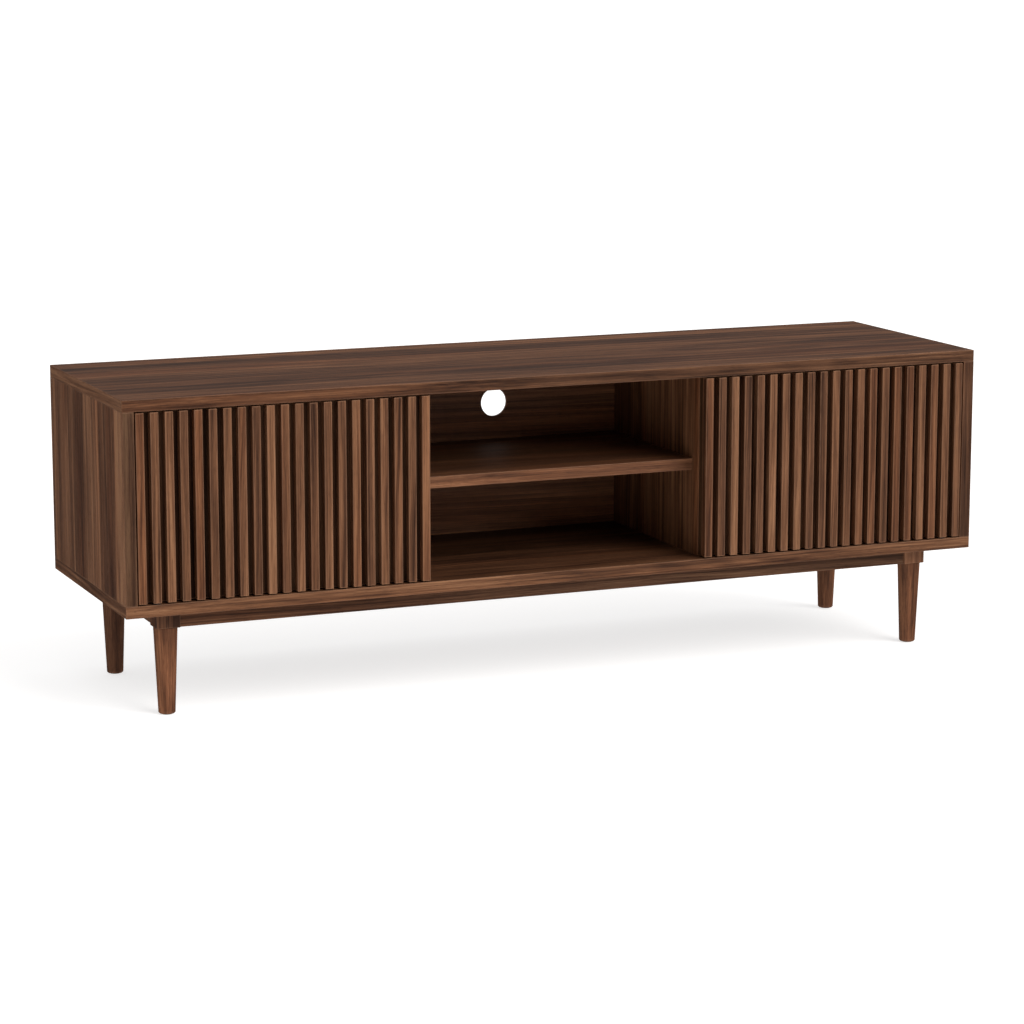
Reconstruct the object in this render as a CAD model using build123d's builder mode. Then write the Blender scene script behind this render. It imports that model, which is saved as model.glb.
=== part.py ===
"""Low media cabinet: two slatted doors either side of an open bay with one shelf, on a leg frame.

Millimetres. +X is to the right, +Y to the back, +Z up. The origin is on the floor, under the
middle of the cabinet, and the doors face -Y.
"""
from build123d import *
import os

# Overall sizes
overall_width = 1400
overall_depth = 400
overall_height = 480
carcass_height = 320
board = 18
board_round = 1.0
edge_round = 0.8

# Centre bay and shelf
bay_width = 456
shelf_thickness = 18
shelf_setback = 46
shelf_gap = 0.5
shelf_pin_radius = 2.5
shelf_pin_depth = 9
shelf_pin_reach = 9
shelf_pin_inset = 40
shelf_collar_radius = 4
shelf_collar = 1.5

# Back panel, let into grooves in the carcass
back_thickness = 6
back_setback = 52
groove_depth = 8
groove_side_gap = 0.1
groove_end_gap = 0.5
cable_hole_radius = 22.5
cable_hole_x = 15
cable_hole_drop = 92

# Doors: vertical slats glued to a backing board
door_gap = 2
slat_count = 21
slat_width = 12.4
slat_depth = 12
door_board = 12
divider_gap = 2
pivot_slat = 1
pivot_depth = 8

# Pivot hinges: a T-shaped plate with a pin in the door, a bush in the carcass
plate_thickness = 2.5
plate_length = 60
plate_width = 9
plate_edge_inset = 6
plate_gap = 0.1
pin_radius = 2.5
pin_engagement = 11
running_gap = 0.05
bush_radius = 4.5
bush_length = 12
bush_fit = 0.05
bush_collar_radius = 6
collar_gap = 0.1
plate_screw_inset = 8

# Push latches under the top panel, one behind each door
latch_length = 70
latch_width = 14
latch_height = 16
latch_flange_width = 34
latch_flange = 2.5
latch_offset = 30
latch_setback = 6
plunger_radius = 4
plunger_length = 56
plunger_end_space = 3
magnet_radius = 3
magnet_length = 3
magnet_proud = 1
strike_width = 24
strike_height = 14
strike_thickness = 1
strike_round = 2
latch_round = 3
nose_chamfer = 0.5
touch_gap = 0.3

# Bumpers on the dividers' front edges
bumper_radius = 4
bumper_inset = 14

# Cam fittings and dowels that hold the uprights to the top and bottom panels
cam_radius = 7.5
cam_floor = 0.5
cam_distance = 24
cam_front_inset = 80
cam_back_inset = 60
cam_dowel_spacing = 32
cam_slot_width = 7.2
cam_drive_width = 1
cam_drive_depth = 1.5
bolt_thread_radius = 3
bolt_thread_length = 11
bolt_collar_radius = 3.8
bolt_collar_length = 2
bolt_shank_radius = 2.6
bolt_head_radius = 3.2
bolt_head_length = 4
bolt_hole_radius = 4
dowel_radius = 4
dowel_length = 30
dowel_top_depth = 11
lead_chamfer = 1
fit_gap = 0.1
end_gap = 0.5

# Leg frame
leg_inset_x = 76
leg_inset_y = 60
block_size = 36
block_round = 1.5
rail_height = 28
rail_thickness = 20
rail_setback = 3
frame_dowel_in_block = 9
frame_dowel_in_rail = 20
rail_screw_spacing = 400
rail_screw_cover = 2

# Legs
leg_top_radius = 18
leg_foot_radius = 12.7
leg_foot_chamfer = 1.5
leg_top_chamfer = 1
glide_radius = 9
glide_thickness = 3
glide_proud = 1
bolt_radius = 4
bolt_in_leg = 30
bolt_in_block = 21
insert_radius = 6
insert_length = 16

# Wood screws: (shank radius, head radius, head length, total length)
rail_screw = (2.0, 4.0, 2.6, rail_height + board - groove_depth - rail_screw_cover)
plate_screw = (1.5, 2.8, 1.5, 18)
latch_screw = (1.5, 3.0, 2.0, 14)
strike_screw = (1.1, 2.0, 0.8, 9)
back_screw = (1.75, 3.6, 2.0, 26)
drive_depth = 0.6
drive_width = 0.3

# Places worked out from the sizes above
front = -overall_depth / 2
carcass_bottom = overall_height - carcass_height
floor_top = carcass_bottom + board
ceiling = overall_height - board
upright_height = ceiling - floor_top
mid_height = (floor_top + ceiling) / 2
inner_width = overall_width - 2 * board
back_rear = overall_depth / 2 - back_setback
back_front = back_rear - back_thickness
door_depth = slat_depth + door_board
door_back = front + door_depth
divider_front = door_back + divider_gap
divider_depth = back_front - divider_front
divider_x = bay_width / 2 + board / 2
door_outer = inner_width / 2 - door_gap
door_inner = bay_width / 2
door_width = door_outer - door_inner
door_height = upright_height - 2 * door_gap
door_low = floor_top + door_gap
door_middle_x = (door_outer + door_inner) / 2
door_board_y = door_back - door_board / 2
slat_y = front + slat_depth / 2
slat_pitch = (door_width - slat_width) / (slat_count - 1)
pivot_x = door_outer - pivot_slat * slat_pitch - slat_width / 2
pivot_y = front + pivot_depth
plate_middle_x = door_outer - plate_edge_inset - plate_length / 2
shelf_front = front + shelf_setback
shelf_back = back_front - shelf_gap
shelf_bottom = mid_height - shelf_thickness / 2
shelf_pin_rows = (shelf_front + shelf_pin_inset, shelf_back - shelf_pin_inset)
cam_depth = board / 2 + bolt_hole_radius + cam_floor
cam_rows = (front + cam_front_inset, back_front - cam_back_inset)
dowel_rows = (cam_rows[0] + cam_dowel_spacing, cam_rows[1] - cam_dowel_spacing)
side_x = inner_width / 2 + board / 2
upright_places = (-side_x, -divider_x, divider_x, side_x)
latch_x = divider_x + board / 2 + latch_offset
latch_front = divider_front + latch_setback
latch_axis_z = ceiling - latch_flange - (latch_height - latch_flange) / 2
plunger_front = door_back + strike_thickness + touch_gap + magnet_proud
leg_x = overall_width / 2 - leg_inset_x
leg_y = overall_depth / 2 - leg_inset_y
frame_bottom = carcass_bottom - rail_height
frame_middle = carcass_bottom - rail_height / 2
block_rail_offset = block_size / 2 - rail_setback - rail_thickness / 2
rail_y = leg_y + block_rail_offset
side_rail_x = leg_x + block_rail_offset
leg_places = {
    "front_left": (-leg_x, -leg_y),
    "front_right": (leg_x, -leg_y),
    "rear_left": (-leg_x, leg_y),
    "rear_right": (leg_x, leg_y),
}
rail_screw_xs = (-rail_screw_spacing, 0, rail_screw_spacing)
back_screw_zs = [mid_height + step * upright_height / 3 for step in (-1, 0, 1)]
bumper_zs = (floor_top + door_gap + bumper_inset, ceiling - door_gap - bumper_inset)


def finish(builder, name):
    """Label a finished sub-part and write it as its own STEP file."""
    builder.part.label = name
    export_step(builder.part, f"parts/{name}.step")


def along_z(points, z, flip=False):
    """Places at one height, facing up, or down when flipped."""
    turn = (180, 0, 0) if flip else (0, 0, 0)
    return [Location((x, y, z), turn) for x, y in points]


def wood_screw(size):
    """A countersunk screw along +Z, its head's face at the origin."""
    shank, head, head_length, length = size
    with BuildPart() as screw:
        with BuildSketch(Plane.XZ):
            with BuildLine():
                Polyline(
                    (0, 0),
                    (head, 0),
                    (shank, head_length),
                    (shank, length - 2 * shank),
                    (0, length),
                    close=True,
                )
            make_face()
        revolve(axis=Axis.Z)
        with BuildSketch(Plane.XY):
            Rectangle(1.2 * head, 2 * drive_width)
            Rectangle(2 * drive_width, 1.2 * head)
        extrude(amount=drive_depth, mode=Mode.SUBTRACT)
    return screw.part


def screw_hole(size):
    """The space a countersunk screw needs, with the fit gap all round."""
    shank, head, head_length, length = size
    with BuildPart() as hole:
        with BuildSketch(Plane.XZ):
            with BuildLine():
                Polyline(
                    (0, -end_gap),
                    (head + fit_gap, -end_gap),
                    (head + fit_gap, fit_gap),
                    (shank + fit_gap, head_length + fit_gap),
                    (shank + fit_gap, length + end_gap),
                    (0, length + end_gap),
                    close=True,
                )
            make_face()
        revolve(axis=Axis.Z)
    return hole.part


def pan_screw(size):
    """A pan-head screw along +Z, the underside of its head at the origin."""
    shank, head, head_length, length = size
    with BuildPart() as screw:
        with BuildSketch(Plane.XZ):
            with BuildLine():
                Polyline(
                    (0, -head_length),
                    (0.6 * head, -head_length),
                    (head, -0.4 * head_length),
                    (head, 0),
                    (shank, 0),
                    (shank, length - head_length - 2 * shank),
                    (0, length - head_length),
                    close=True,
                )
            make_face()
        revolve(axis=Axis.Z)
        with BuildSketch(Plane.XY.offset(-head_length)):
            Rectangle(head, 2 * drive_width)
            Rectangle(2 * drive_width, head)
        extrude(amount=drive_depth, mode=Mode.SUBTRACT)
    return screw.part


def located(one, places):
    """Copies of one small piece at the given places, kept as separate solids."""
    with BuildPart() as pieces:
        with Locations(*places):
            add(one)
    return pieces.part


def round_holes(plane, points, radius, depth):
    """Straight round holes to cut from a piece, drilled from a plane along its normal."""
    with BuildPart() as holes:
        with BuildSketch(plane):
            with Locations(*points):
                Circle(radius)
        extrude(amount=depth)
    return holes.part


def group(one, places, name):
    """Write several copies of one small piece as one sub-part."""
    copies = located(one, places)
    with BuildPart() as pieces:
        add(copies)
    finish(pieces, name)


# Carcass

def top_panel():
    joint = Plane.XY.offset(ceiling)
    cuts = [
        back_groove(joint, groove_depth),
        *upright_holes(joint, 1),
        pivot_sockets(joint, bush_length),
        round_holes(
            joint,
            latch_screw_points(),
            latch_screw[0] + fit_gap,
            latch_screw[3] - latch_flange + end_gap,
        ),
    ]
    with BuildPart() as panel:
        with BuildSketch(joint):
            Rectangle(overall_width, overall_depth)
        extrude(amount=board)
        fillet(panel.edges(), radius=board_round)
        add(cuts, mode=Mode.SUBTRACT)
    finish(panel, "top_panel")


def bottom_panel():
    joint = Plane.XY.offset(floor_top)
    cuts = [
        back_groove(joint, -groove_depth),
        *upright_holes(joint, -1),
        pivot_sockets(joint, -bush_length),
        located(screw_hole(rail_screw), rail_screw_places()),
    ]
    with BuildPart() as panel:
        with BuildSketch(Plane.XY.offset(carcass_bottom)):
            Rectangle(overall_width, overall_depth)
        extrude(amount=board)
        fillet(panel.edges(), radius=board_round)
        add(cuts, mode=Mode.SUBTRACT)
    finish(panel, "bottom_panel")


def back_groove(plane, depth):
    """Groove for the back panel's edge in the top or bottom panel."""
    with BuildPart() as groove:
        with BuildSketch(plane):
            with Locations((0, (back_front + back_rear) / 2)):
                Rectangle(inner_width + 2 * groove_depth, back_thickness + 2 * groove_side_gap)
        extrude(amount=depth)
    return groove.part


def upright_holes(plane, way):
    """Blind holes for the cam bolts' threads and the dowels in the top or bottom panel."""
    bolts = [(x, y) for x in upright_places for y in cam_rows]
    dowels = [(x, y) for x in upright_places for y in dowel_rows]
    return (
        round_holes(plane, bolts, bolt_thread_radius + running_gap, way * (bolt_thread_length + end_gap)),
        round_holes(plane, dowels, dowel_radius + fit_gap, way * (dowel_top_depth + end_gap)),
    )


def pivot_sockets(plane, depth):
    """Sockets that the door pivots' bushes are pressed into."""
    points = [(-pivot_x, pivot_y), (pivot_x, pivot_y)]
    return round_holes(plane, points, bush_radius + bush_fit, depth)


def upright_end_holes(x):
    """Holes in an upright's two ends: a bolt's way to its cam, and the dowels'."""
    bolts = [(x, y) for y in cam_rows]
    dowels = [(x, y) for y in dowel_rows]
    dowel_depth = dowel_length - dowel_top_depth + end_gap
    holes = []
    for z, way in ((ceiling, -1), (floor_top, 1)):
        plane = Plane.XY.offset(z)
        holes.append(round_holes(plane, bolts, bolt_hole_radius, way * cam_distance))
        holes.append(round_holes(plane, dowels, dowel_radius + fit_gap, way * dowel_depth))
    return holes


def cam_sockets(face_x, way):
    """Round sockets for the cam discs in an upright's face, cut along way."""
    points = [(y, z) for y in cam_rows for z in cam_heights()]
    return round_holes(Plane.YZ.offset(face_x), points, cam_radius + fit_gap, way * cam_depth)


def cam_heights():
    return (floor_top + cam_distance, ceiling - cam_distance)


def side_panel(name, way):
    """Outer upright: cams and the back panel's groove are in its inner face."""
    inner_face = way * inner_width / 2
    cuts = [*upright_end_holes(way * side_x), cam_sockets(inner_face, way)]
    with BuildPart() as panel:
        with BuildSketch(Plane.XY.offset(floor_top)):
            with Locations((way * side_x, 0)):
                Rectangle(board, overall_depth)
        extrude(amount=upright_height)
        fillet(panel.edges().filter_by(Axis.Z), radius=edge_round)
        with BuildSketch(Plane.XY.offset(floor_top)):
            with Locations((inner_face + way * groove_depth / 2, (back_front + back_rear) / 2)):
                Rectangle(groove_depth, back_thickness + 2 * groove_side_gap)
        extrude(amount=upright_height, mode=Mode.SUBTRACT)
        add(cuts, mode=Mode.SUBTRACT)
    finish(panel, name)


def divider(name, way):
    """Inner upright behind a door's free edge: cams face the cupboard."""
    pins = [(y, shelf_bottom - shelf_pin_radius) for y in shelf_pin_rows]
    screws = [(way * divider_x, z) for z in back_screw_zs]
    cuts = [
        *upright_end_holes(way * divider_x),
        cam_sockets(way * (divider_x + board / 2), -way),
        round_holes(
            Plane.YZ.offset(way * bay_width / 2),
            pins,
            shelf_pin_radius + fit_gap,
            way * (shelf_pin_depth + end_gap),
        ),
        round_holes(
            Plane.XZ.offset(-back_front),
            screws,
            back_screw[0] + fit_gap,
            back_screw[3] - back_thickness + end_gap,
        ),
    ]
    with BuildPart() as panel:
        with BuildSketch(Plane.XY.offset(floor_top)):
            with Locations((way * divider_x, (divider_front + back_front) / 2)):
                Rectangle(board, divider_depth)
        extrude(amount=upright_height)
        fillet(panel.edges().filter_by(Axis.Z).group_by(Axis.Y)[0], radius=edge_round)
        add(cuts, mode=Mode.SUBTRACT)
    finish(panel, name)


def back_panel():
    with BuildPart() as panel:
        with BuildSketch(Plane.XZ.offset(-back_rear)):
            with Locations((0, mid_height)):
                Rectangle(
                    inner_width + 2 * (groove_depth - groove_end_gap),
                    upright_height + 2 * (groove_depth - groove_end_gap),
                )
            with Locations((cable_hole_x, overall_height - cable_hole_drop)):
                Circle(cable_hole_radius, mode=Mode.SUBTRACT)
            with Locations(*[(x, z) for x in (-divider_x, divider_x) for z in back_screw_zs]):
                Circle(back_screw[0] + fit_gap, mode=Mode.SUBTRACT)
        extrude(amount=back_thickness)
    finish(panel, "back_panel")


def shelf():
    with BuildPart() as panel:
        with BuildSketch(Plane.XY.offset(shelf_bottom)):
            with Locations((0, (shelf_front + shelf_back) / 2)):
                Rectangle(bay_width - 2 * shelf_gap, shelf_back - shelf_front)
        extrude(amount=shelf_thickness)
        fillet(panel.edges().group_by(Axis.Y)[0], radius=edge_round)
    finish(panel, "shelf")


def shelf_pins():
    """Pins in the dividers, cut flat where the shelf lies on them."""
    axis_z = shelf_bottom - shelf_pin_radius
    with BuildPart() as pins:
        for way in (-1, 1):
            face = way * bay_width / 2
            for radius, start, length in (
                (shelf_pin_radius, shelf_pin_depth, shelf_pin_depth + shelf_pin_reach),
                (shelf_collar_radius, 0, shelf_collar),
            ):
                with BuildSketch(Plane.YZ.offset(face + way * start)):
                    with Locations(*[(y, axis_z) for y in shelf_pin_rows]):
                        Circle(radius)
                extrude(amount=-way * length)
        with BuildSketch(Plane.XY.offset(shelf_bottom)):
            Rectangle(bay_width, overall_depth)
        extrude(amount=shelf_collar_radius, mode=Mode.SUBTRACT)
    finish(pins, "shelf_pins")


# Joinery of the carcass

def cam_bolt():
    """Bolt along -Z from the joint plane: thread above it, head at the cam's centre below."""
    head_top = cam_distance - bolt_head_length / 2
    with BuildPart() as bolt:
        with BuildSketch(Plane.XZ):
            with BuildLine():
                Polyline(
                    (0, bolt_thread_length),
                    (bolt_thread_radius - lead_chamfer, bolt_thread_length),
                    (bolt_thread_radius, bolt_thread_length - lead_chamfer),
                    (bolt_thread_radius, 0),
                    (bolt_collar_radius, 0),
                    (bolt_collar_radius, -bolt_collar_length),
                    (bolt_shank_radius, -bolt_collar_length),
                    (bolt_shank_radius, -head_top),
                    (bolt_head_radius, -head_top),
                    (bolt_head_radius, -head_top - bolt_head_length),
                    (0, -head_top - bolt_head_length),
                    close=True,
                )
            make_face()
        revolve(axis=Axis.Z)
    return bolt.part


def cam_disc():
    """Disc lying in its socket along +X from the face, slotted upwards for the bolt's head."""
    slot_start = board / 2 - cam_slot_width / 2
    head_space = bolt_head_length / 2 + end_gap
    with BuildPart() as disc:
        with BuildSketch(Plane.YZ.offset(fit_gap)):
            Circle(cam_radius)
        extrude(amount=cam_depth - 2 * fit_gap)
        with BuildSketch(Plane.YZ.offset(slot_start)):
            with Locations((0, (cam_radius - head_space) / 2)):
                Rectangle(cam_slot_width, cam_radius + head_space)
        extrude(amount=cam_depth - slot_start, mode=Mode.SUBTRACT)
        with BuildSketch(Plane.YZ.offset(fit_gap)):
            Rectangle(cam_radius, cam_drive_width)
            Rectangle(cam_drive_width, cam_radius)
        extrude(amount=cam_drive_depth, mode=Mode.SUBTRACT)
    return disc.part


def upright_ends(rows):
    """Every joint plane place where an upright meets the top or bottom panel."""
    points = [(x, y) for x in upright_places for y in rows]
    return along_z(points, ceiling) + along_z(points, floor_top, flip=True)


def cam_disc_places():
    """Each disc faces its cupboard and opens towards the near end of its upright."""
    places = []
    for upright_x, face_x, way in (
        (-side_x, -inner_width / 2, -1),
        (-divider_x, -divider_x - board / 2, 1),
        (divider_x, divider_x + board / 2, -1),
        (side_x, inner_width / 2, 1),
    ):
        spin = 0 if way > 0 else 180
        for y in cam_rows:
            low, high = cam_heights()
            places.append(Location((face_x, y, high), (0, 0, spin)))
            places.append(Location((face_x, y, low), (180, 0, spin)))
    return places


def dowel(radius, length):
    """A dowel standing on the origin, with chamfered ends."""
    with BuildPart() as pin:
        Cylinder(radius, length, align=(Align.CENTER, Align.CENTER, Align.MIN))
        chamfer(pin.edges().filter_by(GeomType.CIRCLE), length=lead_chamfer)
    return pin.part


def panel_dowels():
    points = [(x, y) for x in upright_places for y in dowel_rows]
    below = dowel_length - dowel_top_depth
    places = along_z(points, ceiling - below) + along_z(points, floor_top + below, flip=True)
    group(dowel(dowel_radius, dowel_length), places, "panel_dowels")


def back_panel_screws():
    places = [
        Location((x, back_rear, z), (90, 0, 0))
        for x in (-divider_x, divider_x)
        for z in back_screw_zs
    ]
    group(pan_screw(back_screw), places, "back_panel_screws")


# Doors

def plate_blanks(gap, thickness):
    """The right door's two T-shaped pivot plates: a strip in the board, a tongue to the pin.

    With a gap they are the recesses that the plates lie in.
    """
    with BuildPart() as plates:
        for z, way in ((door_low, 1), (door_low + door_height, -1)):
            with BuildSketch(Plane.XY.offset(z)):
                with Locations((plate_middle_x, door_board_y)):
                    Rectangle(plate_length + 2 * gap, plate_width + 2 * gap)
                with Locations((pivot_x, (pivot_y + door_board_y) / 2)):
                    Rectangle(plate_width + 2 * gap, door_board_y - pivot_y)
                with Locations((pivot_x, pivot_y)):
                    Circle(plate_width / 2 + gap)
            extrude(amount=way * thickness)
    return plates.part


def right_door_board():
    """Backing board of the right door, with the plates' and strike's screw holes."""
    cuts = [
        plate_blanks(plate_gap, plate_thickness),
        located(screw_hole(plate_screw), plate_screw_places()),
        located(screw_hole(strike_screw), strike_screw_places()),
    ]
    with BuildPart() as panel:
        with BuildSketch(Plane.XY.offset(door_low)):
            with Locations((door_middle_x, door_board_y)):
                Rectangle(door_width, door_board)
        extrude(amount=door_height)
        fillet(panel.edges().filter_by(Axis.Z).group_by(Axis.Y)[-1], radius=edge_round)
        add(cuts, mode=Mode.SUBTRACT)
    return panel.part


def right_door_slats():
    """Slats of the right door; the one at the pivot is recessed for the plates' tongues."""
    recesses = plate_blanks(plate_gap, plate_thickness)
    places = [(door_outer - slat_width / 2 - n * slat_pitch, slat_y) for n in range(slat_count)]
    with BuildPart() as slat:
        with BuildSketch(Plane.XY.offset(door_low)):
            Rectangle(slat_width, slat_depth)
        extrude(amount=door_height)
        fillet(slat.edges().filter_by(Axis.Z).group_by(Axis.Y)[0], radius=edge_round)
        ends = slat.faces().filter_by(Axis.Z)
        chamfer(ends.edges().filter_by(Axis.X).group_by(Axis.Y)[0], length=edge_round / 2)
    with BuildPart() as slats:
        with Locations(*places):
            add(slat.part)
        add(recesses, mode=Mode.SUBTRACT)
    return slats.part


def right_pivot_plates():
    """Upper and lower plate with their pins."""
    blanks = plate_blanks(0, plate_thickness - plate_gap)
    screw_holes = located(screw_hole(plate_screw), plate_screw_places())
    with BuildPart() as plates:
        add(blanks)
        for z, way in ((door_low, -1), (door_low + door_height, 1)):
            with BuildSketch(Plane.XY.offset(z)):
                with Locations((pivot_x, pivot_y)):
                    Circle(pin_radius)
            extrude(amount=way * (door_gap + pin_engagement))
        add(screw_holes, mode=Mode.SUBTRACT)
    return plates.part


def plate_screw_places():
    """Right door: two screws in each pivot plate, heads flush with the door's edges."""
    reach = plate_length / 2 - plate_screw_inset
    points = [(plate_middle_x - reach, door_board_y), (plate_middle_x + reach, door_board_y)]
    return along_z(points, door_low) + along_z(points, door_low + door_height, flip=True)


def right_strike_plate():
    """Steel plate on the door's back for the latch's magnet."""
    screw_holes = located(screw_hole(strike_screw), strike_screw_places())
    with BuildPart() as plate:
        with BuildSketch(Plane.XZ.offset(-door_back)):
            with Locations((latch_x, latch_axis_z)):
                RectangleRounded(strike_width, strike_height, strike_round)
        extrude(amount=-strike_thickness)
        add(screw_holes, mode=Mode.SUBTRACT)
    return plate.part


def strike_screw_places():
    """Right door: two screws in the strike, heads flush with its face."""
    face = door_back + strike_thickness
    reach = strike_width / 3
    return [Location((latch_x + step, face, latch_axis_z), (90, 0, 0)) for step in (-reach, reach)]


def save_pair(right_piece, name):
    """Write the right-hand piece, and its mirror image as the left-hand one."""
    with BuildPart() as right:
        add(right_piece)
    finish(right, f"right_{name}")
    with BuildPart() as left:
        add(mirror(right_piece, about=Plane.YZ, mode=Mode.PRIVATE))
    finish(left, f"left_{name}")


def right_pivot_bushes():
    """Bushes in the carcass; the lower one's collar carries the door."""
    with BuildPart() as bushes:
        for z, way, collar in ((ceiling, 1, 0), (floor_top, -1, door_gap - collar_gap)):
            with BuildSketch(Plane.XY.offset(z)):
                with Locations((pivot_x, pivot_y)):
                    Circle(bush_radius)
            extrude(amount=way * bush_length)
            if collar:
                with BuildSketch(Plane.XY.offset(z)):
                    with Locations((pivot_x, pivot_y)):
                        Circle(bush_collar_radius)
                extrude(amount=collar)
            with BuildSketch(Plane.XY.offset(z + collar)):
                with Locations((pivot_x, pivot_y)):
                    Circle(pin_radius + running_gap)
            extrude(amount=way * (pin_engagement + collar + end_gap), mode=Mode.SUBTRACT)
    return bushes.part


# Push latches

def latch_screw_points():
    """The four latch screws' places under the top panel."""
    reach = latch_flange_width / 2 - (latch_flange_width - latch_width) / 4
    middle = latch_front + latch_length / 2
    return [(way * (latch_x + side * reach), middle) for way in (-1, 1) for side in (-1, 1)]


def right_latch_body():
    """Housing with a flange against the top panel and a bore for the plunger."""
    middle = latch_front + latch_length / 2
    bore_depth = plunger_front + plunger_length + plunger_end_space - latch_front
    with BuildPart() as body:
        with BuildSketch(Plane.XZ.offset(-latch_front)):
            with Locations((latch_x, ceiling - latch_height / 2)):
                RectangleRounded(latch_width, latch_height, latch_round)
        extrude(amount=-latch_length)
        with BuildSketch(Plane.XY.offset(ceiling)):
            with Locations((latch_x, middle)):
                RectangleRounded(latch_flange_width, latch_length / 2, latch_round)
        extrude(amount=-latch_flange)
        with BuildSketch(Plane.XZ.offset(-latch_front)):
            with Locations((latch_x, latch_axis_z)):
                Circle(plunger_radius + running_gap)
        extrude(amount=-bore_depth, mode=Mode.SUBTRACT)
        with BuildSketch(Plane.XY.offset(ceiling)):
            with Locations(*latch_screw_points()):
                Circle(latch_screw[0] + fit_gap)
        extrude(amount=-latch_flange, mode=Mode.SUBTRACT)
    return body.part


def right_latch_plunger():
    """Plunger in the latch's bore, with a seat for the magnet in its nose."""
    with BuildPart() as plunger:
        with BuildSketch(Plane.XZ.offset(-plunger_front)):
            with Locations((latch_x, latch_axis_z)):
                Circle(plunger_radius)
        extrude(amount=-plunger_length)
        chamfer(plunger.edges().filter_by(GeomType.CIRCLE).group_by(Axis.Y)[0], length=nose_chamfer)
        with BuildSketch(Plane.XZ.offset(-plunger_front)):
            with Locations((latch_x, latch_axis_z)):
                Circle(magnet_radius + running_gap)
        extrude(amount=-(magnet_length - magnet_proud), mode=Mode.SUBTRACT)
    return plunger.part


def right_latch_magnet():
    with BuildPart() as magnet:
        with BuildSketch(Plane.XZ.offset(magnet_proud - plunger_front)):
            with Locations((latch_x, latch_axis_z)):
                Circle(magnet_radius)
        extrude(amount=-magnet_length)
    return magnet.part


def door_bumpers():
    """Soft dots on the dividers' front edges that the doors close against."""
    with BuildPart() as bumpers:
        with BuildSketch(Plane.XZ.offset(-divider_front)):
            with Locations(*[(x, z) for x in (-divider_x, divider_x) for z in bumper_zs]):
                Circle(bumper_radius)
        extrude(amount=divider_gap - touch_gap)
        chamfer(bumpers.edges().filter_by(GeomType.CIRCLE).group_by(Axis.Y)[0], length=nose_chamfer)
    finish(bumpers, "door_bumpers")


# Leg frame

def rail_screw_places():
    """Screws up through the rails into the bottom panel."""
    points = [(x, y) for y in (-rail_y, rail_y) for x in rail_screw_xs]
    points += [(-side_rail_x, 0), (side_rail_x, 0)]
    return along_z(points, frame_bottom)


def rail(name, middle, length, along_x):
    """One rail of the leg frame, drilled for its screws and its end dowels."""
    size = (length, rail_thickness) if along_x else (rail_thickness, length)
    direction = Axis.X if along_x else Axis.Y
    cuts = [located(screw_hole(rail_screw), rail_screw_places()), frame_dowel_holes()]
    with BuildPart() as bar:
        with BuildSketch(Plane.XY.offset(frame_bottom)):
            with Locations(middle):
                Rectangle(*size)
        extrude(amount=rail_height)
        fillet(bar.edges().filter_by(direction).group_by(Axis.Z)[0], radius=board_round)
        add(cuts, mode=Mode.SUBTRACT)
    finish(bar, name)


def rails():
    long_rail = 2 * leg_x - block_size
    short_rail = 2 * leg_y - block_size
    rail("front_rail", (0, -rail_y), long_rail, True)
    rail("rear_rail", (0, rail_y), long_rail, True)
    rail("left_rail", (-side_rail_x, 0), short_rail, False)
    rail("right_rail", (side_rail_x, 0), short_rail, False)


def frame_dowel_places():
    """At each block, one dowel along X into a long rail and one along Y into a short rail."""
    places = []
    for x_way in (-1, 1):
        for y_way in (-1, 1):
            along_x = (0, -90 * x_way, 0)
            along_y = (90 * y_way, 0, 0)
            block_x = x_way * (leg_x - block_size / 2)
            block_y = y_way * (leg_y - block_size / 2)
            places.append(Location((block_x, y_way * rail_y, frame_middle), along_x))
            places.append(Location((x_way * side_rail_x, block_y, frame_middle), along_y))
    return places


def frame_dowel():
    """Dowel along Z through the joint plane, its longer part above, in the rail."""
    with BuildPart() as pin:
        with BuildSketch(Plane.XY.offset(-frame_dowel_in_block)):
            Circle(dowel_radius)
        extrude(amount=frame_dowel_in_block + frame_dowel_in_rail)
        chamfer(pin.edges().filter_by(GeomType.CIRCLE), length=lead_chamfer)
    return pin.part


def frame_dowel_holes():
    """The space that every frame dowel needs, with the fit gap round it."""
    start = Plane.XY.offset(-frame_dowel_in_block - end_gap)
    length = frame_dowel_in_block + frame_dowel_in_rail + 2 * end_gap
    return located(round_holes(start, [(0, 0)], dowel_radius + fit_gap, length), frame_dowel_places())


def corner_block(name, place):
    """Square block that takes a leg's bolt and two rails."""
    dowel_holes = frame_dowel_holes()
    with BuildPart() as block:
        with BuildSketch(Plane.XY.offset(frame_bottom)):
            with Locations(place):
                Rectangle(block_size, block_size)
        extrude(amount=rail_height)
        fillet(block.edges().filter_by(Axis.Z), radius=block_round)
        for radius, depth in (
            (insert_radius + fit_gap, insert_length),
            (bolt_radius + end_gap, bolt_in_block + end_gap),
        ):
            with BuildSketch(Plane.XY.offset(frame_bottom)):
                with Locations(place):
                    Circle(radius)
            extrude(amount=depth, mode=Mode.SUBTRACT)
        add(dowel_holes, mode=Mode.SUBTRACT)
    finish(block, name)


# Legs

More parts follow.
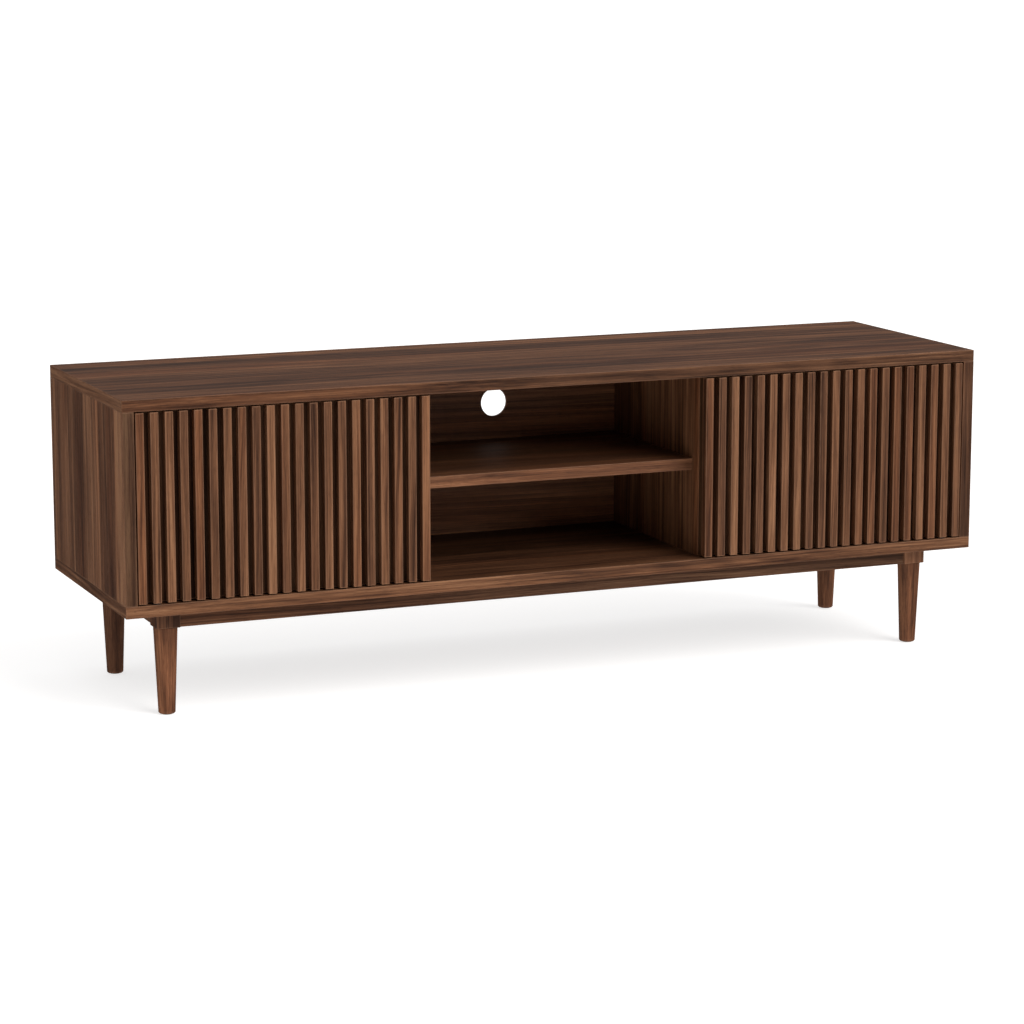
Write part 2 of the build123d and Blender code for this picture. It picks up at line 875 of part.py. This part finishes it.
def leg(name, place):
    """Turned, tapered leg with a bolt hole in its top and a recess for the glide."""
    with BuildPart() as post:
        with BuildSketch(Plane.XZ):
            with BuildLine():
                Polyline(
                    (0, glide_proud),
                    (leg_foot_radius - leg_foot_chamfer, glide_proud),
                    (leg_foot_radius, glide_proud + leg_foot_chamfer),
                    (leg_top_radius, frame_bottom - leg_top_chamfer),
                    (leg_top_radius - leg_top_chamfer, frame_bottom),
                    (0, frame_bottom),
                    close=True,
                )
            make_face()
        revolve(axis=Axis.Z)
        with BuildSketch(Plane.XY.offset(frame_bottom)):
            Circle(bolt_radius + fit_gap)
        extrude(amount=-(bolt_in_leg + end_gap), mode=Mode.SUBTRACT)
        with BuildSketch(Plane.XY.offset(glide_proud)):
            Circle(glide_radius + fit_gap)
        extrude(amount=glide_thickness - glide_proud, mode=Mode.SUBTRACT)
    with BuildPart() as placed:
        with Locations(place):
            add(post.part)
    finish(placed, name)


def leg_glide():
    with BuildPart() as glide:
        Cylinder(glide_radius, glide_thickness, align=(Align.CENTER, Align.CENTER, Align.MIN))
        chamfer(glide.edges().group_by(Axis.Z)[0], length=glide_proud / 2)
    return glide.part


def hanger_bolt():
    """Bolt with its wood thread in the leg and its machine thread in the block's insert."""
    with BuildPart() as bolt:
        with BuildSketch(Plane.XY.offset(frame_bottom - bolt_in_leg)):
            Circle(bolt_radius)
        extrude(amount=bolt_in_leg + bolt_in_block)
        chamfer(bolt.edges().filter_by(GeomType.CIRCLE), length=lead_chamfer)
    return bolt.part


def threaded_insert():
    with BuildPart() as sleeve:
        with BuildSketch(Plane.XY.offset(frame_bottom)):
            Circle(insert_radius)
            Circle(bolt_radius + fit_gap, mode=Mode.SUBTRACT)
        extrude(amount=insert_length)
    return sleeve.part


os.makedirs("parts", exist_ok=True)

top_panel()
bottom_panel()
side_panel("left_side_panel", -1)
side_panel("right_side_panel", 1)
divider("left_divider", -1)
divider("right_divider", 1)
back_panel()
shelf()
shelf_pins()
group(cam_bolt(), upright_ends(cam_rows), "cam_bolts")
group(cam_disc(), cam_disc_places(), "cam_discs")
panel_dowels()
back_panel_screws()

save_pair(right_door_board(), "door_board")
save_pair(right_door_slats(), "door_slats")
save_pair(right_pivot_plates(), "pivot_plates")
save_pair(located(wood_screw(plate_screw), plate_screw_places()), "pivot_screws")
save_pair(right_pivot_bushes(), "pivot_bushes")
save_pair(right_strike_plate(), "strike_plate")
save_pair(located(wood_screw(strike_screw), strike_screw_places()), "strike_screws")
save_pair(right_latch_body(), "latch_body")
save_pair(right_latch_plunger(), "latch_plunger")
save_pair(right_latch_magnet(), "latch_magnet")
group(pan_screw(latch_screw), along_z(latch_screw_points(), ceiling - latch_flange), "latch_screws")
door_bumpers()

rails()
group(wood_screw(rail_screw), rail_screw_places(), "rail_screws")
group(frame_dowel(), frame_dowel_places(), "frame_dowels")
for corner, place in leg_places.items():
    corner_block(f"{corner}_block", place)
    leg(f"{corner}_leg", place)
leg_spots = along_z(leg_places.values(), 0)
group(leg_glide(), leg_spots, "leg_glides")
group(hanger_bolt(), leg_spots, "hanger_bolts")
group(threaded_insert(), leg_spots, "threaded_inserts")
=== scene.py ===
"""Looks, light and camera for a walnut tv stand with two slatted doors. Lengths are in metres.

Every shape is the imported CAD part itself. This script gives each of its pieces a
procedural material, and adds a floor, soft studio light and the camera.
"""

from math import cos, radians, sin

import bpy
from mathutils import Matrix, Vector


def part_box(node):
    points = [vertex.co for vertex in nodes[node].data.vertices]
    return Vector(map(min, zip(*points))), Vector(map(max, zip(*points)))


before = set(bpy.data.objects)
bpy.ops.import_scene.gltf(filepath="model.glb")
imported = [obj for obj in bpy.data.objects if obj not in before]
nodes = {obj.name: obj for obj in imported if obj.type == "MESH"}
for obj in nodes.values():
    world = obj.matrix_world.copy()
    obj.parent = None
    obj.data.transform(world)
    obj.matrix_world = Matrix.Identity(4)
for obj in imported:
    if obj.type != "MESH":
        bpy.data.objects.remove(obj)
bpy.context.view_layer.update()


# ------------------------------------------------------------------ node helpers


class Graph:
    """A node tree. Its calls add nodes and return their output, or for node() the node.

    Each input may be a socket, which is linked, or a plain value, which is set.
    """

    def __init__(self, tree):
        self.tree = tree
        self.tree.nodes.clear()

    def node(self, kind, inputs=None, **settings):
        """Adds a node. Its settings come first, because its sockets can depend on them."""
        made = self.tree.nodes.new(kind)
        for name, value in settings.items():
            setattr(made, name, value)
        for key, value in (inputs or {}).items():
            if isinstance(value, bpy.types.NodeSocket):
                self.tree.links.new(value, made.inputs[key])
            else:
                made.inputs[key].default_value = value
        return made

    def math(self, operation, *values, clamp=False):
        inputs = dict(enumerate(values))
        made = self.node("ShaderNodeMath", inputs, operation=operation, use_clamp=clamp)
        return made.outputs[0]

    def add(self, first, second):
        return self.math("ADD", first, second)

    def minus(self, first, second):
        return self.math("SUBTRACT", first, second)

    def times(self, first, second):
        return self.math("MULTIPLY", first, second)

    def over(self, first, second):
        return self.math("DIVIDE", first, second)

    def total(self, start, *terms):
        """start plus each value times its weight. terms are (value, weight)."""
        for value, weight in terms:
            start = self.add(start, self.times(value, weight))
        return start

    def fade(self, distance, reach):
        """1 at no distance, falling evenly to 0 at reach."""
        return self.math("SUBTRACT", 1.0, self.over(distance, reach), clamp=True)

    def vector(self, x, y, z):
        return self.node("ShaderNodeCombineXYZ", {0: x, 1: y, 2: z}).outputs[0]

    def split(self, vector):
        return tuple(self.node("ShaderNodeSeparateXYZ", {0: vector}).outputs)

    def scaled(self, vector, x, y, z):
        inputs = {0: vector, 1: (x, y, z)}
        return self.node("ShaderNodeVectorMath", inputs, operation="MULTIPLY").outputs[0]

    def noise(self, vector, scale=1.0, detail=2.0, roughness=0.5):
        """Noise from 0 to 1. scale is in cells per metre of vector."""
        inputs = {"Vector": vector, "Scale": scale, "Detail": detail, "Roughness": roughness}
        return self.node("ShaderNodeTexNoise", inputs).outputs[0]

    def about_zero(self, value):
        """Moves 0..1 to -0.5..0.5."""
        return self.minus(value, 0.5)

    def ramp(self, value, low, high, highest=1.0):
        """Maps low..high onto 0..highest with a smooth step."""
        inputs = {"Value": value, "From Min": low, "From Max": high, "To Max": highest}
        made = self.node("ShaderNodeMapRange", inputs, interpolation_type="SMOOTHSTEP")
        return made.outputs[0]

    # a Mix node has separate sockets for each type of data, so it is joined by number
    def mix(self, factor, first, second, blend="MIX"):
        inputs = {0: factor, 6: first, 7: second}
        made = self.node("ShaderNodeMix", inputs, data_type="RGBA", blend_type=blend)
        return made.outputs[2]

    def mix_vector(self, factor, first, second):
        inputs = {0: factor, 4: first, 5: second}
        return self.node("ShaderNodeMix", inputs, data_type="VECTOR").outputs[1]

    def colours(self, value, stops):
        """A colour ramp. stops are (place, (r, g, b))."""
        made = self.node("ShaderNodeValToRGB", {0: value})
        ramp = made.color_ramp
        while len(ramp.elements) < len(stops):
            ramp.elements.new(0.5)
        for element, (place, colour) in zip(ramp.elements, stops):
            element.position = place
            element.color = opaque(colour)
        return made.outputs[0]


def opaque(colour):
    return (*colour, 1.0)


def new_material(name):
    material = bpy.data.materials.new(name)
    material.use_nodes = True
    return material, Graph(material.node_tree)


def finish_material(g, colour, roughness, height, bump_depth, bump_strength, **shader):
    """Joins colour, roughness and bump to a Principled shader. shader has its fixed values."""
    bump_inputs = {"Height": height, "Distance": bump_depth, "Strength": bump_strength}
    bump = g.node("ShaderNodeBump", bump_inputs)
    inputs = {"Base Color": colour, "Roughness": roughness, "Normal": bump.outputs[0]}
    inputs.update({key.replace("_", " "): value for key, value in shader.items()})
    made = g.node("ShaderNodeBsdfPrincipled", inputs)
    g.node("ShaderNodeOutputMaterial", {0: made.outputs[0]})


def dress(names, material):
    """Puts the material on the CAD nodes of these names."""
    for name in names:
        for slot in nodes[name].material_slots:
            slot.material = material


# ------------------------------------------------------------------ wood grain

# Each layer of the grain: cells per metre along it and across it, the noise's detail and
# roughness, and how much the layer adds to the figure.
GRAIN_LAYERS = {
    "broad": (1.1, 34.0, 2.0, 0.50, 0.55),
    "bands": (1.6, 75.0, 2.0, 0.50, 0.70),
    "streaks": (2.4, 180.0, 4.0, 0.62, 0.90),
    "lines": (4.5, 430.0, 3.0, 0.60, 0.95),
    "fibres": (22.0, 1100.0, 2.0, 0.60, 0.50),
}
ARCH_WEIGHT = 0.06  # how much the wide arches add to it
ARCH_SPAN = 95.0  # radians of their sine that the noise runs through

# How far the grain wanders sideways over half a metre or so, and over a hand's breadth.
SWAY = 0.030
TREMOR = 0.0035
# How far along the pattern the wander and the grain of one seed are from the next seed's.
WANDER_STEP = 2.3
GRAIN_STEP = 3.1
# How far apart the grain of two planks can be: along, across and in depth.
PLANK_SHIFT = (5.0, 2.0, 1.0)

REDDER = (1.0, 0.80, 0.66)  # what the reddish patches multiply the colour by
REDDENING = 0.55
PORE_COLOUR = (0.012, 0.006, 0.004)
PORE_STRENGTH = 0.45
# how pale the edges are made: partly rubbed lacquer, partly a painted highlight
WEAR_AND_HIGHLIGHT_STRENGTH = 0.42
LACQUER_ROUGHNESS = 0.46


def group_tree(name):
    """An empty node group with the sockets of a wood."""
    tree = bpy.data.node_groups.new(name, "ShaderNodeTree")

    def socket(label, way, kind="Float"):
        tree.interface.new_socket(label, in_out=way, socket_type="NodeSocket" + kind)

    socket("Board", "INPUT", "Vector")
    for label in ("Seed", "Plank", "Start", "Variety", "Figure", "Tone", "Edge"):
        socket(label, "INPUT")
    socket("Color", "OUTPUT", "Color")
    socket("Roughness", "OUTPUT")
    socket("Height", "OUTPUT")
    return tree


def wood_group(name, shades, wear_and_highlight_colour):
    """Wood grain. Its Board vector runs along the grain in x, across the face in y, deep in z.

    A board is a row of planks or veneer strips, each Plank wide, counted from Start. Each
    has a tone of its own, as far apart as Variety, and its own piece of the grain. Seed
    moves the whole pattern from board to board. Figure is the contrast of the grain, Tone
    makes all of it lighter or darker, and Edge is 1 where an edge is made paler: partly
    rubbed lacquer, partly a painted highlight. shades are the wood's colours from dark to
    light, and the last argument is the colour of those paler edges.
    """
    tree = group_tree(name)
    g = Graph(tree)
    given = g.node("NodeGroupInput").outputs
    along, across, deep = g.split(given["Board"])
    seed = given["Seed"]

    # which plank this is, and random numbers of its own
    index = g.math("FLOOR", g.over(g.minus(across, given["Start"]), given["Plank"]))
    any_number = 0.37
    key = g.vector(index, seed, any_number)
    pick = g.node("ShaderNodeTexWhiteNoise", {"Vector": key}, noise_dimensions="3D")
    plank_tone = g.about_zero(pick.outputs["Value"])
    shift_along, shift_across, shift_deep = g.split(pick.outputs["Color"])

    # the grain wanders a little from side to side along the board
    place = g.vector(g.total(along, (seed, WANDER_STEP)), across, deep)
    sway = g.about_zero(g.noise(g.scaled(place, 1.7, 6.0, 6.0), detail=1.0))
    tremor = g.about_zero(g.noise(g.scaled(place, 7.0, 45.0, 45.0), detail=1.0))
    grain = g.vector(
        g.total(along, (seed, GRAIN_STEP), (shift_along, PLANK_SHIFT[0])),
        g.total(across, (sway, SWAY), (tremor, TREMOR), (shift_across, PLANK_SHIFT[1])),
        g.total(deep, (shift_deep, PLANK_SHIFT[2])),
    )

    def layer(along_scale, across_scale, detail=1.0, roughness=0.5):
        stretched = g.scaled(grain, along_scale, across_scale, across_scale)
        return g.noise(stretched, detail=detail, roughness=roughness)

    layers = {label: layer(*values[:4]) for label, values in GRAIN_LAYERS.items()}
    arches = g.math("SINE", g.times(layer(0.8, 9.0), ARCH_SPAN))
    pores = g.ramp(layer(60.0, 2100.0), 0.58, 0.72)
    patch = g.ramp(layer(0.7, 16.0), 0.42, 0.68)

    figure = g.times(arches, ARCH_WEIGHT)
    for label, (*_, weight) in GRAIN_LAYERS.items():
        figure = g.total(figure, (g.about_zero(layers[label]), weight))
    shade = g.total(0.5, (plank_tone, given["Variety"]), (figure, given["Figure"]))
    colour = g.colours(shade, shades)
    reddened = g.mix(g.times(patch, REDDENING), colour, opaque(REDDER), "MULTIPLY")
    colour = g.mix(patch, colour, reddened)
    colour = g.mix(g.times(pores, PORE_STRENGTH), colour, opaque(PORE_COLOUR))
    level = g.vector(given["Tone"], given["Tone"], given["Tone"])
    colour = g.mix(1.0, colour, level, "MULTIPLY")
    # paler edges: partly rubbed lacquer, partly a painted highlight
    colour = g.mix(g.times(given["Edge"], WEAR_AND_HIGHLIGHT_STRENGTH), colour, opaque(wear_and_highlight_colour))

    # a satin lacquer: rougher in the pores and on the paler edges, which are partly rubbed and
    # partly a painted highlight
    streaks = g.about_zero(layers["streaks"])
    rough = g.total(LACQUER_ROUGHNESS, (streaks, 0.22), (pores, 0.14), (given["Edge"], 0.06))
    height = g.total(0.0, (layers["fibres"], 0.35), (layers["streaks"], 0.5), (pores, -0.5))
    g.node("NodeGroupOutput", {"Color": colour, "Roughness": rough, "Height": height})
    return tree


WALNUT = wood_group(
    "walnut_grain",
    shades=(
        (0.15, (0.033, 0.0130, 0.0064)),
        (0.38, (0.088, 0.0360, 0.0170)),
        (0.56, (0.142, 0.0600, 0.0280)),
        (0.72, (0.205, 0.0920, 0.0440)),
        (0.95, (0.290, 0.1420, 0.0700)),
    ),
    wear_and_highlight_colour=(0.235, 0.118, 0.066),
)
BEECH = wood_group(
    "beech_grain",
    shades=(
        (0.20, (0.330, 0.190, 0.100)),
        (0.45, (0.480, 0.300, 0.170)),
        (0.60, (0.560, 0.370, 0.215)),
        (0.80, (0.640, 0.450, 0.280)),
    ),
    wear_and_highlight_colour=(0.680, 0.500, 0.330),
)


# ------------------------------------------------------------------ wooden pieces

ONE_PLANK = 9.0  # wider than any board, so the board is a single plank
BAND_OFFSET = (3.7, 1.9)  # keeps the grain of an edge band apart from its board's
LEAST_REACH = 0.35  # how little of its width the paler edge, partly rubbed and partly a painted highlight, can reach in
FOOT_WEAR = 0.006


def square_to_axis(g, normal):
    """1 where the face is square to an axis, and 0 elsewhere. normal is its part along it."""
    return g.math("GREATER_THAN", g.math("ABSOLUTE", normal), 0.75)


def worn_and_highlit_edges(g, place, low, high, width):
    """1 on the edges of the box from low to high, fading over about width, in patches. These
    paler edges are partly rubbed lacquer and partly a painted highlight.
    """
    gaps = []
    for coordinate, start, end in zip(place, low, high):
        gaps.append(g.math("MINIMUM", g.minus(coordinate, start), g.minus(end, coordinate)))
    # on a face the least gap is 0, so the middle one is the distance to the nearest edge
    total = g.add(g.add(gaps[0], gaps[1]), gaps[2])
    least = g.math("MINIMUM", g.math("MINIMUM", gaps[0], gaps[1]), gaps[2])
    most = g.math("MAXIMUM", g.math("MAXIMUM", gaps[0], gaps[1]), gaps[2])
    distance = g.minus(g.minus(total, least), most)
    patches = g.noise(g.vector(*place), scale=55.0)
    return g.fade(distance, g.times(g.add(patches, LEAST_REACH), width))


def rubbed_foot(g, place, height):
    """1 at the lower end of a turned piece, fading within a few millimetres, in patches."""
    patches = g.noise(place, scale=60.0)
    return g.fade(height, g.times(g.add(patches, 0.3), FOOT_WEAR))


def dress_wood(node, order, seed, strip=ONE_PLANK, start=0.0, variety=0.5, tone=1.0,
               figure=1.0, gloss=0.26, painted_face_light=(), banded_ends=False, battens=None,
               turned=False, edge_width=0.0022, wear_and_highlight=1.0, species=WALNUT):
    """Gives the CAD node a wood whose grain runs along the first axis in order.

    order names the axes along the grain, across the face and into the board. strip, start,
    variety, tone and figure go to the wood group. gloss is the shader's specular level, and
    wear_and_highlight how pale the edges are made: partly rubbed lacquer, partly a painted
    highlight. painted_face_light holds (axis, factor) pairs that make each side square to an
    axis lighter or darker: painted light and shade, set to how that side looks lit. With
    banded_ends, the ends carry an edge band whose grain runs along their length. battens is
    (pitch, first centre, width) of equal battens side by side in x.
    """
    material, g = new_material(node)
    coordinates = g.node("ShaderNodeTexCoord").outputs
    axes = dict(zip("xyz", g.split(coordinates["Object"])))
    normal = dict(zip("xyz", g.split(coordinates["Normal"])))
    low, high = [list(corner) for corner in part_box(node)]

    along, across, deep = (axes[axis] for axis in order)
    board = g.vector(along, across, deep)
    if banded_ends:
        band = g.vector(g.add(across, BAND_OFFSET[0]), g.add(deep, BAND_OFFSET[1]), along)
        board = g.mix_vector(square_to_axis(g, normal[order[0]]), board, band)
    if battens:
        pitch, first, width = battens
        steps = g.over(g.minus(axes["x"], first), pitch)
        axes["x"] = g.times(g.minus(steps, g.math("ROUND", steps)), pitch)
        low[0], high[0] = -width / 2, width / 2
    if turned:
        edge = rubbed_foot(g, coordinates["Object"], g.minus(axes["z"], low[2]))
    else:
        edge = worn_and_highlit_edges(g, list(axes.values()), low, high, edge_width)
    # painted light and shade: each side square to a listed axis is made lighter or darker by
    # its factor
    for axis, factor in painted_face_light:
        here = square_to_axis(g, normal[axis])
        tone = g.times(tone, g.add(1.0, g.times(here, factor - 1.0)))

    inputs = {
        "Board": board, "Seed": seed, "Plank": strip, "Start": start,
        "Variety": variety, "Figure": figure, "Tone": tone, "Edge": g.times(edge, wear_and_highlight),
    }
    grain = g.node("ShaderNodeGroup", inputs, node_tree=species).outputs
    finish_material(
        g, grain["Color"], grain["Roughness"], grain["Height"],
        bump_depth=0.00022, bump_strength=0.8, Specular_IOR_Level=gloss, IOR=1.45,
    )
    dress([node], material)


def dress_case():
    """The case boards. Each has its own seed, so no two show the same grain.

    Their veneer strips are counted from the front, and the back panel's from the bottom.
    """
    front = -0.200
    case_bottom = 0.160
    # painted light and shade: the top's front edge is made darker, and the bottom panel's flat
    # sides darker as painted shade on the bay floor
    for node, seed, gloss, painted_face_light in (
        ("top_panel", 1.3, 0.20, (("z", 1.02), ("y", 0.74))),
        ("bottom_panel", 2.9, 0.18, (("z", 0.72),)),
    ):
        dress_wood(node, "xyz", seed, strip=0.0575, start=front, tone=0.97, gloss=gloss,
                   painted_face_light=painted_face_light, banded_ends=True)
    # painted shade: the shelf's flat sides are made darker, as the bay floor lies in shade
    dress_wood("shelf", "xyz", 4.1, strip=0.071, start=front, variety=0.25, tone=1.12,
               figure=0.85, painted_face_light=(("z", 0.70),), banded_ends=True)
    # painted light and shade: the side panels' front edges are made darker and the dividers'
    # lighter, set to how each looks in the light
    for node, seed, variety, tone, gloss, front_edge_light in (
        ("left_side_panel", 5.7, 0.50, 1.12, 0.24, 0.34),
        ("right_side_panel", 6.3, 0.34, 1.06, 0.24, 0.55),
        ("left_divider", 7.9, 0.50, 1.05, 0.12, 1.40),
        ("right_divider", 8.6, 0.50, 1.12, 0.12, 1.75),
    ):
        dress_wood(node, "zyx", seed, strip=0.043, start=front, variety=variety, tone=tone,
                   gloss=gloss, painted_face_light=(("y", front_edge_light),))
    # its tone of nearly twice the other boards' is painted light: it lightens the back panel
    # where it stands in the bays' shade
    dress_wood("back_panel", "xzy", 9.4, strip=0.088, start=case_bottom, variety=0.10,
               tone=1.95, figure=0.60)


def dress_doors():
    """Boards behind slats that each have a tone of their own. The boards are very dark: partly
    dark wood, partly painted shade in the grooves between the slats.
    """
    slat_width = 0.0124
    slat_count = 21
    for side, seed in (("left", 11.2), ("right", 12.7)):
        # a very dark tone: partly dark wood, partly painted shade in the grooves between the
        # slats
        dress_wood(side + "_door_board", "zxy", seed, strip=0.09, variety=0.25, tone=0.30,
                   gloss=0.08)
        slats = side + "_door_slats"
        low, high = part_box(slats)
        pitch = (high[0] - low[0] - slat_width) / (slat_count - 1)
        first = low[0] + slat_width / 2
        # the slats' edges are made wider and nearly twice as pale as elsewhere: a painted
        # highlight along each slat's edge
        dress_wood(slats, "zxy", seed + 3.3, strip=pitch, start=first - pitch / 2,
                   variety=0.24, tone=0.98, gloss=0.20, battens=(pitch, first, slat_width),
                   edge_width=0.0021, wear_and_highlight=1.8)


def dress_frame():
    """The rails, corner blocks and turned legs under the case."""
    for node, order, seed in (
        ("front_rail", "xzy", 21.3),
        ("rear_rail", "xzy", 22.1),
        ("left_rail", "yzx", 23.9),
        ("right_rail", "yzx", 24.2),
    ):
        dress_wood(node, order, seed, tone=0.72)
    # painted light and shade: the front legs and blocks are made lighter and the rear left ones
    # darker, as the rear sit in the case's shadow; the rear right lies between
    for corner, seed, tone in (
        ("front_left", 31.4, 1.50),
        ("front_right", 36.6, 1.60),
        ("rear_left", 33.5, 0.76),
        ("rear_right", 34.9, 1.15),
    ):
        dress_wood(corner + "_block", "zxy", seed, tone=tone, figure=0.75)
        dress_wood(corner + "_leg", "zxy", seed + 5.2, tone=tone, figure=0.75, turned=True)


def dress_dowels():
    for node, seed in (("panel_dowels", 41.0), ("frame_dowels", 42.0)):
        dress_wood(node, "zxy", seed, species=BEECH, turned=True)


# ------------------------------------------------------------------ metal, plastic, rubber


def metal(name, colour, roughness, brush, stained=0.35):
    """Metal with fine brushing along z, cloudy tarnish and small scratches."""
    material, g = new_material(name)
    place = g.node("ShaderNodeTexCoord").outputs["Object"]
    cloud = g.noise(place, scale=220.0, detail=3.0)
    brushed = g.noise(g.scaled(place, 2600.0, 2600.0, 140.0))
    specks = g.ramp(g.noise(place, scale=1900.0, detail=1.0), 0.66, 0.74)
    dark = opaque(0.55 * c for c in colour)
    bright = opaque(min(1.0, 1.25 * c) for c in colour)
    tint = g.mix(g.times(g.ramp(cloud, 0.35, 0.70), stained), opaque(colour), dark)
    tint = g.mix(g.times(brushed, 0.22), tint, bright)
    tint = g.mix(g.times(specks, 0.4), tint, dark)
    rough = g.total(roughness, (g.about_zero(cloud), 0.30), (g.about_zero(brushed), brush))
    height = g.total(0.0, (brushed, 0.6), (specks, -0.4))
    finish_material(g, tint, rough, height, bump_depth=0.00004, bump_strength=0.6, Metallic=1.0)
    return material


def moulded(name, colour, roughness, grain_scale, bump_depth):
    """Moulded plastic or rubber with a fine spark-eroded skin and faint clouding."""
    material, g = new_material(name)
    place = g.node("ShaderNodeTexCoord").outputs["Object"]
    cloud = g.noise(place, scale=90.0, detail=3.0)
    skin = g.noise(place, scale=grain_scale, detail=3.0, roughness=0.6)
    dust = g.ramp(g.noise(place, scale=700.0), 0.60, 0.75)
    pale = opaque(min(1.0, 1.35 * c + 0.012) for c in colour)
    tint = g.mix(g.ramp(cloud, 0.35, 0.68, highest=0.6), opaque(colour), pale)
    tint = g.mix(g.times(dust, 0.18), tint, pale)
    rough = g.total(roughness, (g.about_zero(skin), 0.25), (dust, 0.08))
    finish_material(g, tint, rough, skin, bump_depth, bump_strength=0.5,
                    Specular_IOR_Level=0.45)
    return material


def dress_fittings():
    """The fittings, by the ends of their names."""
    zinc = metal("zinc_plate", (0.62, 0.63, 0.62), 0.38, 0.20)
    dark = metal("black_oxide_steel", (0.075, 0.072, 0.070), 0.46, 0.16)
    brass = metal("insert_brass", (0.66, 0.48, 0.22), 0.34, 0.20)
    nickel = metal("magnet_nickel", (0.70, 0.69, 0.66), 0.22, 0.08, stained=0.2)
    nylon = moulded("black_nylon", (0.016, 0.016, 0.017), 0.48, 1400.0, 0.00005)
    grey = moulded("grey_plastic", (0.21, 0.21, 0.215), 0.42, 1200.0, 0.00004)
    glide = moulded("glide_plastic", (0.035, 0.033, 0.031), 0.55, 1100.0, 0.00006)
    rubber = moulded("bumper_rubber", (0.42, 0.41, 0.39), 0.62, 900.0, 0.00008)
    for ends, material in (
        (("cam_bolts", "cam_discs", "hanger_bolts", "shelf_pins", "_strike_plate"), zinc),
        (("_pivot_plates", "_screws"), dark),
        (("threaded_inserts",), brass),
        (("_latch_magnet",), nickel),
        (("_pivot_bushes", "_latch_body"), nylon),
        (("_latch_plunger",), grey),
        (("leg_glides",), glide),
        (("door_bumpers",), rubber),
    ):
        dress([name for name in nodes if name.endswith(ends)], material)


# ------------------------------------------------------------------ stage, light, camera


def build_floor():
    """A wide pale floor that glows a little of itself, so the shadow on it stays faint."""
    half = 60.0
    below_feet = -0.0004
    mesh = bpy.data.meshes.new("studio_floor")
    corners = [(-half, -half), (half, -half), (half, half), (-half, half)]
    mesh.from_pydata([(x, y, below_feet) for x, y in corners], [], [(0, 1, 2, 3)])
    floor = bpy.data.objects.new("studio_floor", mesh)
    bpy.context.scene.collection.objects.link(floor)
    # it would otherwise wash out the lacquer with its own reflection
    floor.visible_glossy = False

    material, g = new_material("studio_floor")
    place = g.node("ShaderNodeTexCoord").outputs["Object"]
    cloud = g.noise(place, scale=1.3, detail=3.0)
    tint = g.mix(cloud, (0.545, 0.545, 0.548, 1.0), (0.560, 0.559, 0.558, 1.0))
    rough = g.total(0.85, (cloud, 0.05))
    finish_material(
        g, tint, rough, cloud, bump_depth=0.0001, bump_strength=0.05, Specular_IOR_Level=0.0,
        Emission_Color=(1.0, 1.0, 1.0, 1.0), Emission_Strength=0.70,
    )
    mesh.materials.append(material)


def build_sky():
    """Light that grows from the horizon up, behind a background that is seen as white."""
    world = bpy.data.worlds.new("studio")
    bpy.context.scene.world = world
    world.use_nodes = True
    g = Graph(world.node_tree)
    seen = g.node("ShaderNodeLightPath").outputs["Is Camera Ray"]
    direction = g.node("ShaderNodeTexCoord").outputs["Generated"]
    upward = g.math("MAXIMUM", g.split(direction)[2], 0.0)
    at_horizon, gain_overhead = 0.07, 1.06
    strength = g.total(at_horizon, (g.times(upward, upward), gain_overhead))
    sky = g.node("ShaderNodeBackground", {0: (1.0, 0.99, 0.98, 1.0), 1: strength})
    white = g.node("ShaderNodeBackground", {0: (1.0, 1.0, 1.0, 1.0), 1: 1.0})
    shown = g.node("ShaderNodeMixShader", {0: seen, 1: sky.outputs[0], 2: white.outputs[0]})
    g.node("ShaderNodeOutputWorld", {0: shown.outputs[0]})


def build_key_light():
    """A broad soft light from the front right."""
    key = bpy.data.lights.new("key", "SUN")
    key.energy = 2.45
    key.angle = radians(45)
    key.color = (1.0, 0.985, 0.96)
    lamp = bpy.data.objects.new("key", key)
    bpy.context.scene.collection.objects.link(lamp)
    height = radians(36)
    turn = radians(35)
    towards = Vector((sin(turn) * cos(height), -cos(turn) * cos(height), sin(height)))
    lamp.rotation_euler = towards.to_track_quat("Z", "Y").to_euler()


def build_camera():
    """A long lens to the left of the front, looking a little down."""
    downward = radians(10.57)
    turn = radians(22.641)
    lens = bpy.data.cameras.new("camera")
    lens.lens = 113.37
    lens.sensor_width = 36.0
    lens.clip_end = 200.0
    camera = bpy.data.objects.new("camera", lens)
    camera.location = (-1.9369, -4.6130, 1.1673)
    camera.rotation_euler = (radians(90) - downward, 0.0, -turn)
    bpy.context.scene.collection.objects.link(camera)
    bpy.context.scene.camera = camera


dress_case()
dress_doors()
dress_frame()
dress_dowels()
dress_fittings()
build_floor()
build_sky()
build_key_light()
build_camera()
# colours are shown as they are, with no film-like curve
bpy.context.scene.view_settings.view_transform = "Standard"

undressed = [n for n, o in nodes.items() for s in o.material_slots if s.material is None]
assert not undressed, undressed
